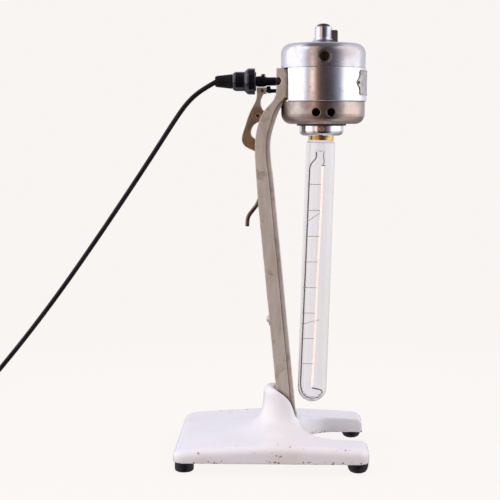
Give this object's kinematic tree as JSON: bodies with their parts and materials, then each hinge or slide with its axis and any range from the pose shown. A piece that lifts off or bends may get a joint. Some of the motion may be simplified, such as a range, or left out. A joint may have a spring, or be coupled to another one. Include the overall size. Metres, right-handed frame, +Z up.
{
  "type": "table lamp",
  "caption": "Table lamp made from an old bench stirrer stand: enamelled U-shaped base, curved channel post, drum housing and a long hanging tubular bulb.",
  "frame": {"origin": "on the floor, at the centre of the base's footprint", "axes": "+Z up, +X from the post towards the bulb, +Y across the base"},
  "size_m": [0.5535, 0.178, 0.4477],
  "materials": {
    "white_enamel": "glossy white vitreous enamel over cast iron, chipped at the edges",
    "foot_rubber": "black rubber",
    "post_nickel": "dull worn nickel plate with brown patina",
    "bright_nickel": "polished nickel plated shell",
    "dull_nickel": "matte warm grey shell",
    "bronze": "worn brown bronze",
    "dark_steel": "browned steel",
    "steel": "zinc plated steel",
    "chrome": "bright chrome",
    "bakelite": "glossy black bakelite",
    "black_moulded": "matte black moulded plastic",
    "brown_moulded": "dark brown moulded insulator",
    "fibre": "dark fibre washer",
    "brass": "yellow brass",
    "plate_metal": "blank grey plate",
    "clear_glass": "clear glass",
    "stem_glass": "drawn clear glass",
    "lead_wire": "dark nickel wire",
    "filament_carbon": "pale carbonised filament",
    "cord_black": "black round flex",
    "wire_insulation": "insulated wire"
  },
  "bodies": {
    "lamp_stand": {"base_casting": "white_enamel", "foot_rear_near": "foot_rubber", "foot_rear_far": "foot_rubber", "foot_front_near": "foot_rubber", "foot_front_far": "foot_rubber", "foot_screws": "steel", "post": "post_nickel", "post_nut_block": "steel", "post_screws": "steel", "post_bridge": "dark_steel", "bridge_screw": "steel", "head_stud": "dark_steel", "head_nut": "steel", "conduit_tube": "black_moulded", "switch_collar": "black_moulded", "collar_screw": "dark_steel", "connector_flange": "bakelite", "connector_barrel": "bakelite", "strain_relief": "black_moulded", "switch_body": "brown_moulded", "lever_pin": "dark_steel", "motor_top_cap": "bright_nickel", "motor_band": "bright_nickel", "motor_lower_cap": "dull_nickel", "through_bolts": "steel", "brush_holders": "dark_steel", "brush_caps": "brown_moulded", "nameplate": "plate_metal", "nameplate_pins": "dark_steel", "push_switch_body": "brown_moulded", "switch_nut": "steel", "gasket_disc": "fibre", "lampholder_ring": "chrome", "ring_screw": "bronze", "lampholder_body": "brown_moulded", "socket_shell": "brass", "centre_contact": "brass", "terminal_screws": "brass", "inner_wires": "wire_insulation", "cord": "cord_black", "cord_coil": "cord_black", "plug_body": "black_moulded", "plug_pins": "brass"},
    "bulb": {"bulb_glass": "clear_glass", "bulb_stem": "stem_glass", "bulb_cap": "brass", "cap_insulator": "bakelite", "cap_contact": "steel", "support_rod": "lead_wire", "short_lead": "lead_wire", "filament": "filament_carbon", "anchor_wires": "lead_wire"},
    "switch_lever": {"lever": "bronze", "lever_rivet": "dark_steel", "pull_rod": "dark_steel"},
    "switch_plunger": {"switch_plunger": "black_moulded"},
    "push_button": {"push_button": "dark_steel"}
  },
  "joints": [
    {"name": "lever_hinge", "type": "hinge", "parent": "lamp_stand", "child": "switch_lever", "pos_m": [-0.0149, 0, 0.3544], "axis": [0, 1, 0], "range_deg": [0, 3.5], "stiffness_Nm_per_rad": 0.6, "springref_deg": -2.86},
    {"name": "plunger_slide", "type": "slide", "parent": "lamp_stand", "child": "switch_plunger", "axis": [1, 0, 0], "range_m": [0, 0.00156]},
    {"name": "button_slide", "type": "slide", "parent": "lamp_stand", "child": "push_button", "axis": [0, 0, -1], "range_m": [0, 0.0015], "stiffness_N_per_m": 400, "springref_m": -0.002},
    {"name": "bulb_draw", "type": "slide", "parent": "lamp_stand", "child": "bulb", "axis": [-0.0298, 0, -0.9996], "range_m": [0, 0.03]}
  ],
  "couplings": [
    {"joint": "plunger_slide", "follows": "lever_hinge", "m_per_rad": 0.0253}
  ]
}
